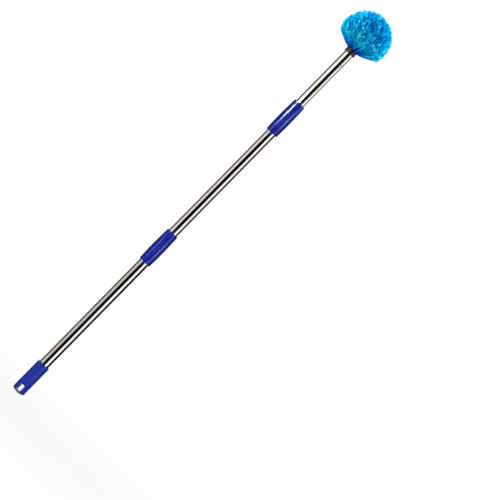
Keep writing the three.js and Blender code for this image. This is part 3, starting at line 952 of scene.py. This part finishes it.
# The head's side stands up to a share of its height. Above it, at angle v, the radius is the
# head's times cos v to the power of that share, and the height goes on with sin v.
head_angle = np.linspace(0, np.pi / 2, screw_head_rows)
head_radii = screw_head_radius * np.cos(head_angle) ** screw_head_side_share
head_shares = screw_head_side_share + (1 - screw_head_side_share) * np.sin(head_angle)
head_curve = list(zip(head_radii, head_shares * screw_head_height))
screw_corners = [
    (0.0, -screw_shank_length),
    (screw_shank_radius, screw_point_length - screw_shank_length),
    (screw_shank_radius, 0.0),
    (screw_head_radius, 0.0),
    *head_curve[:-1],
    (0.0, screw_head_height),
]
screw_rounds = np.zeros(len(screw_corners) - 2)
screw_rounds[:3] = np.array([0.2, 0.1, 0.25]) * MM
screw_line = rounded(screw_corners, screw_rounds, hold=0.05 * MM)
screw = turned("head_screw_pan", screw_line, screw_sides)
print("screw faces before the cross:", len(screw.data.polygons))

# %% Cut the cross and lay the screw on the tube
cross_reach = 2.1 * MM
cross_half_width = 0.45 * MM
cross_size_shares = np.array([1.15, 1.0, 0.55])
cross_heights = screw_head_height + np.array([0.6, -0.1, -1.3]) * MM
cross_angle = np.radians(24)
screw_seat = top_tube_high[0] + 0.05 * MM


def cross_cutter():
    """A cross of two bars, twelve corners round, which narrows from a little over full size above
    the head to about half at the floor of the recess."""
    a = cross_half_width
    b = cross_reach
    x = np.array([b, a, a, -a, -a, -b, -b, -a, -a, a, a, b])
    y = np.array([a, a, b, b, a, a, -a, -a, -b, -b, -a, -a])
    size = cross_size_shares[:, None]
    height = np.broadcast_to(cross_heights[:, None], (len(size), len(x)))
    points = np.stack([size * x, size * y, height], axis=-1)
    faces = grid_faces(len(size), len(x), False, True)
    return clean(mesh_object("cross_cutter", points, faces), closes_ends=True)


cut(screw, cross_cutter())
cross_turn = Matrix.Rotation(cross_angle, 4, "Z")
seat = Matrix.Translation(Vector((0, 0, screw_seat)))
lay = Matrix.Rotation(np.pi / 2, 4, "Y")
around = Matrix.Rotation(screw_turn, 4, "Z")
lift = Matrix.Translation(Vector((0, 0, screw_height)))
screw.data.transform(lift @ around @ lay @ seat @ cross_turn)
screw.data.update()
dress(screw, plated_steel, "plated_steel", "top_section", "head_screw")
print("screw faces:", len(screw.data.polygons))

# %% [markdown]
# ## Lock parts
#
# Inside the pole, at the foot of each inner tube, sits a twist lock: a plug, a spindle, a split
# sleeve, a cone nut and a stop washer. Their solids already have the right shape, so they stay and
# only get their finishes, which show when the pole is taken apart.

# %% Finishes of the lock parts
lock_finishes = {
    "plug": grey_nylon,
    "spindle": plated_steel,
    "sleeve": pale_nylon,
    "nut": grey_nylon,
    "stop": plated_steel,
}
for lock in ("lower_lock", "upper_lock"):
    for part, finish in lock_finishes.items():
        paint(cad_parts[f"{lock}_{part}"], finish)
print("lock parts:", 2 * len(lock_finishes))

# %% [markdown]
# ## Bristles
#
# The head is a ball of fine blue filaments. On the real brush they are set in tufts, each pressed
# into its own hole in a dome, and they fan out and are trimmed to a ball. Blender's hair system
# would draw them as lines with no mesh. Here each filament is a thin three-sided tube on a bent
# path, and all of them are worked out together. The steps are: where the tips lie, which hole each
# filament comes from, how it bends on the way, and how thick it is.

# %% Directions round a ball
rim_angle = np.radians(113)
skirt_start = 0.5
skirt_fade = 0.4


def spiral(count, last_angle):
    """Points that share a ball's cap evenly: the height falls in equal steps from the pole, and
    each point turns on by the golden angle. Gives the angle from the pole and the turn about it."""
    share = (np.arange(count) + 0.5) / count
    fall = np.arccos(1 - share * (1 - np.cos(last_angle)))
    turn = np.arange(count) * np.pi * (3 - np.sqrt(5))
    return fall, turn


def on_ball(fall, turn):
    """Unit vectors (sin f cos t, sin f sin t, cos f), f from the pole and t about it."""
    flat = np.sin(fall)
    return np.stack([flat * np.cos(turn), flat * np.sin(turn), np.cos(fall)], axis=-1)


def area_share_of(direction):
    """The share of the trimmed ball's surface that lies nearer the pole than this direction: the
    height lost since the pole, over the height that the whole surface spans."""
    return ((1 - direction[:, 2]) / (1 - np.cos(rim_angle))).clip(0, 1)


def rim_share(direction):
    """0 over the crown, the upper half of the surface. Below it, in the skirt, it rises evenly to
    1 near the lower rim."""
    return ((area_share_of(direction) - skirt_start) / skirt_fade).clip(0, 1)


print("the ball's rim lies", round(float(np.degrees(rim_angle))), "degrees from its top")

# %% [markdown]
# The tips aren't spread evenly. Filaments stand in small clumps, and the clumps lean together to
# tufts, with dark gaps between them. So each clump moves part of the way to its nearest tuft, and
# a few loose ones stay between. Trimming isn't perfect either: tufts, clumps and filaments each
# end a little short by chance. A power of each chance, between 0 and 1, keeps most losses small.

# %% Clumps and tufts
clump_count = 4600
filaments_per_clump = 9
tuft_count = 400
clump_scatter = 0.012
tuft_scatter = 0.03
loose_share = 0.08
loose_gather = 0.1
top_gather = 0.66
rim_gather_drop = 0.36
random = np.random.default_rng(11)


def scattered(count, scatter):
    """Even directions over the ball, each pushed off its place by a random amount."""
    even = on_ball(*spiral(count, rim_angle))
    return unit(even + random.normal(0, scatter, even.shape))


clumps = scattered(clump_count, clump_scatter)
tufts = scattered(tuft_count, tuft_scatter)
tuft_of_clump = (clumps @ tufts.T).argmax(axis=1)
is_loose = random.random(clump_count) < loose_share
gather = np.where(is_loose, loose_gather, top_gather - rim_gather_drop * rim_share(clumps))
clumps = unit(clumps + gather[:, None] * (tufts[tuft_of_clump] - clumps))
clump_of = np.repeat(np.arange(clump_count), filaments_per_clump)
filament_count = len(clump_of)
print("filaments:", filament_count)

# %% Tips on the ball
ball_radius = 59.6 * MM
ball_centre = up * (block_foot + 52.6 * MM) + to_right * 0.9 * MM
most_tuft_loss = 2.6 * MM
most_clump_loss = 2.6 * MM
loose_loss = 0.6 * MM
most_filament_loss = 2.2 * MM
rim_trim_share = 0.75
filament_scatter = 0.0095

tuft_loss = most_tuft_loss * random.random(tuft_count) ** 2
clump_loss = tuft_loss[tuft_of_clump] + most_clump_loss * random.random(clump_count) ** 3
clump_loss = clump_loss + loose_loss * is_loose
aim = unit(clumps[clump_of] + random.normal(0, filament_scatter, (filament_count, 3)))
loss = clump_loss[clump_of] + most_filament_loss * random.random(filament_count) ** 1.5
loss = loss * (1 - rim_trim_share * rim_share(aim))
tips = ball_centre + aim * (ball_radius - loss)[:, None]
print("mean loss at a tip:", round(loss.mean() / MM, 2), "mm")

# %% [markdown]
# The dome has rings of holes. A ring takes the tips of one band of the ball, and each hole takes
# one sector of the band, so that every hole feeds an equal share of the surface. A filament's
# place in its hole follows its place in that sector, which keeps the filaments from crossing.

# %% Roots in the holes of the dome
dome_radius = 13.5 * MM
dome_focus = up * (block_foot + 5 * MM)
hole_radius = 1.75 * MM
hole_fill_share = 0.85
root_depth = 1.2 * MM
ring_holes = np.array([1, 5, 9, 12])
ring_angles = np.radians([0, 23, 43, 61])
ring_offset_share = np.array([0.0, 0.2, 0.6, 0.3])


def side_of(turn):
    """The level direction to the left of each turn about the pole: (-sin t, cos t, 0)."""
    return np.stack([-np.sin(turn), np.cos(turn), 0 * turn], axis=-1)


turn = np.arctan2(aim[:, 1], aim[:, 0]) % TURN
area_share = area_share_of(aim)
band_ends = np.concatenate([[0], np.cumsum(ring_holes)]) / ring_holes.sum()
band = np.searchsorted(band_ends[1:-1], area_share)
holes = ring_holes[band]
place = turn / TURN * holes + ring_offset_share[band]
sector_place = 2 * (place % 1) - 1
hole_turn = (np.floor(place) + 0.5 - ring_offset_share[band]) / holes * TURN
band_width = band_ends[band + 1] - band_ends[band]
band_place = 2 * (area_share - band_ends[band]) / band_width - 1
hole_direction = on_ball(ring_angles[band], hole_turn)
sideways = side_of(hole_turn)
downward = np.cross(sideways, hole_direction)
in_hole = sector_place[:, None] * sideways + band_place[:, None] * downward
roots = dome_focus + hole_direction * (dome_radius - root_depth)
roots = roots + hole_radius * hole_fill_share * in_hole
print("holes in the dome:", ring_holes.sum())

# %% [markdown]
# A filament leaves its hole, sags a little and turns up again to its tip. A quadratic curve
# through the root and the tip, with its middle point pulled down, does that. Real filaments are
# crimped, so each row of points is also pushed sideways by a small random amount, and neighbours
# in a clump lean together.

# %% Paths of the filaments
path_shares = np.array([0.0, 0.34, 0.6, 0.79, 0.92, 1.0])
sag_share = 0.115
bunch_share = 0.3
crimp = 0.42 * MM
lean = 1.3 * MM

length = np.linalg.norm(tips - roots, axis=1)
swing = ((tips - roots) * sideways).sum(axis=1)
pulled = (roots + tips) / 2 - up * (sag_share * length * area_share**2)[:, None]
pulled = pulled - bunch_share * swing[:, None] * sideways
share = path_shares[None, :, None]
paths = bent(roots[:, None], pulled[:, None], tips[:, None], share)
forward = unit(tips - roots)
first_side = unit(np.cross(forward, random.normal(0, 1, (filament_count, 3))))
second_side = np.cross(forward, first_side)
wobble = random.normal(0, crimp, (filament_count, len(path_shares), 2)) * share
clump_lean = random.normal(0, lean, (clump_count, 3))[clump_of][:, None, :] * share**3
paths = paths + wobble[..., :1] * first_side[:, None] + wobble[..., 1:] * second_side[:, None]
paths = paths + clump_lean
print("mean length of a filament:", round(length.mean() / MM, 1), "mm")

# %% [markdown]
# The colour follows a map with two values, and both carry painted shade. Across, it holds the
# filament's shade: a longer filament gets less painted shade, as a shorter one ends deeper in
# the ball, and the rest is a chance tone, part of it shared by the tuft and the clump. Up, it
# holds how far out in the light a point lies, which the colour ramp turns into painted shade: it
# falls with the distance below the filament's own tip, more slowly in the skirt, and near the
# root it rises with the distance above it. The map is a true UV map, so a baked picture of it
# holds the same colours.

# %% Painted shade and light of the filaments
painted_depth_weight, tuft_weight, clump_weight, own_weight = 0.33, 0.22, 0.13, 0.3
full_loss = 4.6 * MM
shade_depth = 48 * MM
skirt_painted_light_share = 0.52
shade_rise = 50 * MM
root_shade = 0.24
map_ends = (0.02, 0.999)

tuft_shade = random.random(tuft_count)[tuft_of_clump][clump_of]
clump_shade = random.random(clump_count)[clump_of]
own_shade = random.random(filament_count)
# Painted shade: a filament trimmed shorter ends deeper in the ball and is darkened for it.
painted_depth_shade = 1 - (loss / full_loss).clip(0, 1)
tone_and_painted_shade = painted_depth_weight * painted_depth_shade + tuft_weight * tuft_shade
tone_and_painted_shade = tone_and_painted_shade + clump_weight * clump_shade + own_weight * own_shade
# Painted light and shade along a filament: full at the tip, falling below it, more slowly in the
# skirt, and low near the root.
fall_length = length * (1 - skirt_painted_light_share * rim_share(aim))
below_tip = (1 - path_shares) * fall_length[:, None]
above_root = path_shares * length[:, None]
painted_light_of = np.minimum(1 - below_tip / shade_depth, root_shade + above_root / shade_rise)
painted_light_of = painted_light_of.clip(*map_ends)
print("mean shade:", round(tone_and_painted_shade.mean(), 2), "mean light:", round(painted_light_of.mean(), 2))

# %% [markdown]
# Each row of the path gets a small triangle of points square to the filament. Faces join the rows
# and close both ends. They are worked out for one filament, and the others only add to the numbers.

# %% Filament tubes
filament_sides = 3
root_radius = 0.15 * MM
tip_radius = 0.26 * MM
end_taper_share = 0.6
side_shade_step = 0.004


def filament_mesh(name, chosen):
    """Three-sided tubes round the chosen paths: each row's corners are path + r (cos a * one side +
    sin a * other side), with r growing from the root and drawn in again at the very tip."""
    rows = len(path_shares)
    side = np.arange(filament_sides)
    angle = side * TURN / filament_sides
    radius = root_radius + (tip_radius - root_radius) * path_shares
    radius[-1] = tip_radius * end_taper_share
    ring = np.cos(angle)[None, :, None] * first_side[chosen][:, None, :]
    ring = ring + np.sin(angle)[None, :, None] * second_side[chosen][:, None, :]
    points = paths[chosen][:, :, None, :] + radius[None, :, None, None] * ring[:, None, :, :]
    quads = grid_faces(rows, filament_sides, False, True)
    last = (rows - 1) * filament_sides
    ends = np.array([[0, 2, 1], [last, last + 1, last + 2]])
    one = np.concatenate([quads[:, [0, 1, 2]], quads[:, [0, 2, 3]], ends])
    start = np.arange(len(chosen)) * rows * filament_sides
    corner = (start[:, None, None] + one[None, :, :]).reshape(-1, 3)
    made = mesh_object(name, points, corner)
    # Across the map: the tone with its painted depth shade. Up the map: the painted light.
    shade = tone_and_painted_shade[chosen][:, None, None] + side_shade_step * side
    shade = np.broadcast_to(shade, points.shape[:3])
    light = np.broadcast_to(painted_light_of[chosen][:, :, None], points.shape[:3])
    on_map = np.column_stack([shade.ravel(), light.ravel()])[corner.ravel()]
    uv = made.data.uv_layers.new(name="OFBake")
    uv.uv.foreach_set("vector", on_map.astype(np.float32).ravel())
    made.data.shade_smooth()
    return made


print("triangles of one filament:", 2 * filament_sides * (len(path_shares) - 1) + 2)

# %% [markdown]
# ### Bristle finish
#
# The filaments are a bright blue, and painted shade makes them deep near the roots and deep in
# the ball. Some tips are pale, partly the filaments' own lighter ends and partly a painted glint.
# The colour could be painted on an image, but a colour ramp along the map's upward value follows
# every filament by itself. A few strands are pale all along, and a stretched noise lights and
# darkens short marks along each strand: painted light and shade for the glints of the crimp on
# the real ones.

# %% Bristle finish
# Pale colour of some tips, partly a painted glint, and of a few strands that are pale all along.
pale_strand_and_glint_colour = (0.2, 0.8, 0.98, 1)
# Waves of the painted crimp glints, along and across the map.
crimp_glint_waves = (150, 22, 1)
# Stops of painted shade: dark blue low on the map's upward value, up to the lit cyan at the tip.
painted_shade_stops = [
    (0.0, (0.0, 0.025, 0.36)),
    (0.3, (0.0, 0.075, 0.52)),
    (0.55, (0.0, 0.175, 0.68)),
    (0.78, (0.0, 0.36, 0.80)),
    (0.93, (0.002, 0.54, 0.80)),
    (1.0, (0.015, 0.69, 0.86)),
]
bristle = Finish("bristle_filament", (0.0, 0.25, 0.68))
bristle.set("Roughness", 0.4)
bristle.set("Specular IOR Level", 0.015)
nodes = bristle.tree
bristle_map = add_node(nodes, "UVMap", {}, uv_map="OFBake")["UV"]
split = add_node(nodes, "SeparateXYZ", {"Vector": bristle_map})
shade, light = split["X"], split["Y"]

# A filament's tone, which holds its painted depth shade, moves it along the ramp of painted shade:
# a lower tone sits darker and bluer.
reach = bristle.spread(shade, 0.55, 1.1, 0.25, 0.8)
painted_shade_place = maths(nodes, "MULTIPLY", light, reach)
blue_with_painted_shade = add_node(nodes, "ValToRGB", {"Fac": painted_shade_place})["Color"]
ramp = blue_with_painted_shade.node.color_ramp
for position, colour in painted_shade_stops[1:-1]:
    ramp.elements.new(position)
for element, (position, colour) in zip(ramp.elements, painted_shade_stops):
    element.position = position
    element.color = (*colour, 1)

# Painted light and shade: a stretched noise lights and darkens short marks along each strand,
# standing in for the glints of the crimp.
crimp_glint_place = add_node(nodes, "Mapping", {"Vector": bristle_map, "Scale": crimp_glint_waves})["Vector"]
crimp_glint_noise = add_node(nodes, "TexNoise", {"Vector": crimp_glint_place, "Scale": 1.0})["Fac"]
painted_crimp_glint_level = bristle.spread(crimp_glint_noise, 0.58, 1.55, 0.35, 0.68)
# The tone, with its painted depth shade, also scales each filament's brightness.
tone_and_painted_shade_level = bristle.spread(shade, 0.52, 1.42, 0.22, 0.82)
# The blue with its painted shade, times the painted crimp glints and the tone.
shaded = bristle.scaled(blue_with_painted_shade, maths(nodes, "MULTIPLY", painted_crimp_glint_level, tone_and_painted_shade_level))

# Pale tips on part of the filaments: partly their own lighter ends, partly a painted glint. A few
# whole strands are pale in their own colour.
has_pale_glinting_tip = bristle.spread(shade, 0.0, 1.0, 0.7, 0.77)
at_tip = bristle.spread(light, 0.0, 0.6, 0.95, 0.985)
pale_tip_and_painted_glint = maths(nodes, "MULTIPLY", has_pale_glinting_tip, at_tip)
pale_strand = bristle.spread(shade, 0.0, 0.2, 0.9, 0.91)
pale_and_painted_glint_share = maths(nodes, "MAXIMUM", pale_tip_and_painted_glint, pale_strand)
tipped = {"Factor": pale_and_painted_glint_share, "A": shaded, "B": pale_strand_and_glint_colour}
bristle.set("Base Color", add_node(nodes, "Mix", tipped, data_type="RGBA")["Result"])
print("colours along a filament:", len(ramp.elements))

# %% [markdown]
# The solid model has the bristles in four quarters. Each quarter is replaced by two pieces, the
# crown above and the skirt below, which keeps every mesh small enough to load fast.

# %% Eight pieces, an upper and a lower one for each quarter
quarter_names = ["right_back", "left_back", "left_front", "right_front"]
quarter_of = np.floor(turn / (TURN / 4)).astype(int).clip(0, 3)
is_skirt = area_share > skirt_start
for quarter, name in enumerate(quarter_names):
    for part, inside in (("skirt", is_skirt), ("crown", ~is_skirt)):
        chosen = np.flatnonzero((quarter_of == quarter) & inside)
        piece = filament_mesh(f"bristles_{name}_{part}", chosen)
        dress(piece, bristle, "bristle_filament", "top_section", f"bristles_{name}")
        print(piece.name, len(piece.data.polygons), "triangles")

# %% [markdown]
# Between the tufts, near the drum, the black dome that holds them shows, and on it the bright ends
# of the wire anchors that hold the tufts. Each end is a small round bead, and one formula places
# them all.

# %% Dome
dome_rows = 20
dome_sides = 72
dome_edge = np.arccos((drum_top - dome_focus[2]) / dome_radius)
dome_angle = np.linspace(dome_edge, 0, dome_rows)
dome_curve = np.column_stack([np.sin(dome_angle), np.cos(dome_angle)]) * dome_radius
dome_line = np.concatenate([[[0.0, drum_top]], dome_curve + [0.0, dome_focus[2]]])
holder = turned("bristle_dome", dome_line, dome_sides)
dress(holder, satin_black, "block_plastic", "top_section")
print("dome:", round(2 * dome_radius * np.sin(dome_edge) / MM, 1), "mm wide at the drum")

# %% Anchor ends
anchor_radius = 0.7 * MM
anchor_ring_angle = np.radians(54)
bead_rows = 7
bead_sides = 10


def anchor_ends():
    """Beads between the outer holes. On a bead, the point at angles v from its outward direction
    and u about it is centre + radius (sin v cos u * one side + sin v sin u * other side + cos v *
    outward)."""
    count = ring_holes[-1]
    turn = (np.arange(count) - ring_offset_share[-1]) / count * TURN
    outward = on_ball(np.full(count, anchor_ring_angle), turn)
    side = side_of(turn)
    other = np.cross(outward, side)
    centre = dome_focus + outward * dome_radius
    v = np.linspace(0, np.pi, bead_rows)[None, :, None, None]
    u = (np.arange(bead_sides) * TURN / bead_sides)[None, None, :, None]
    bead = np.cos(u) * side[:, None, None] + np.sin(u) * other[:, None, None]
    bead = np.sin(v) * bead + np.cos(v) * outward[:, None, None]
    points = centre[:, None, None] + anchor_radius * bead
    one = grid_faces(bead_rows, bead_sides, False, True)
    start = np.arange(count) * bead_rows * bead_sides
    faces = start[:, None, None] + one[None]
    return clean(mesh_object("bristle_anchors", points, faces.reshape(-1, 4)))


dress(anchor_ends(), plated_steel, "plated_steel", "top_section")
print("anchor ends:", ring_holes[-1])
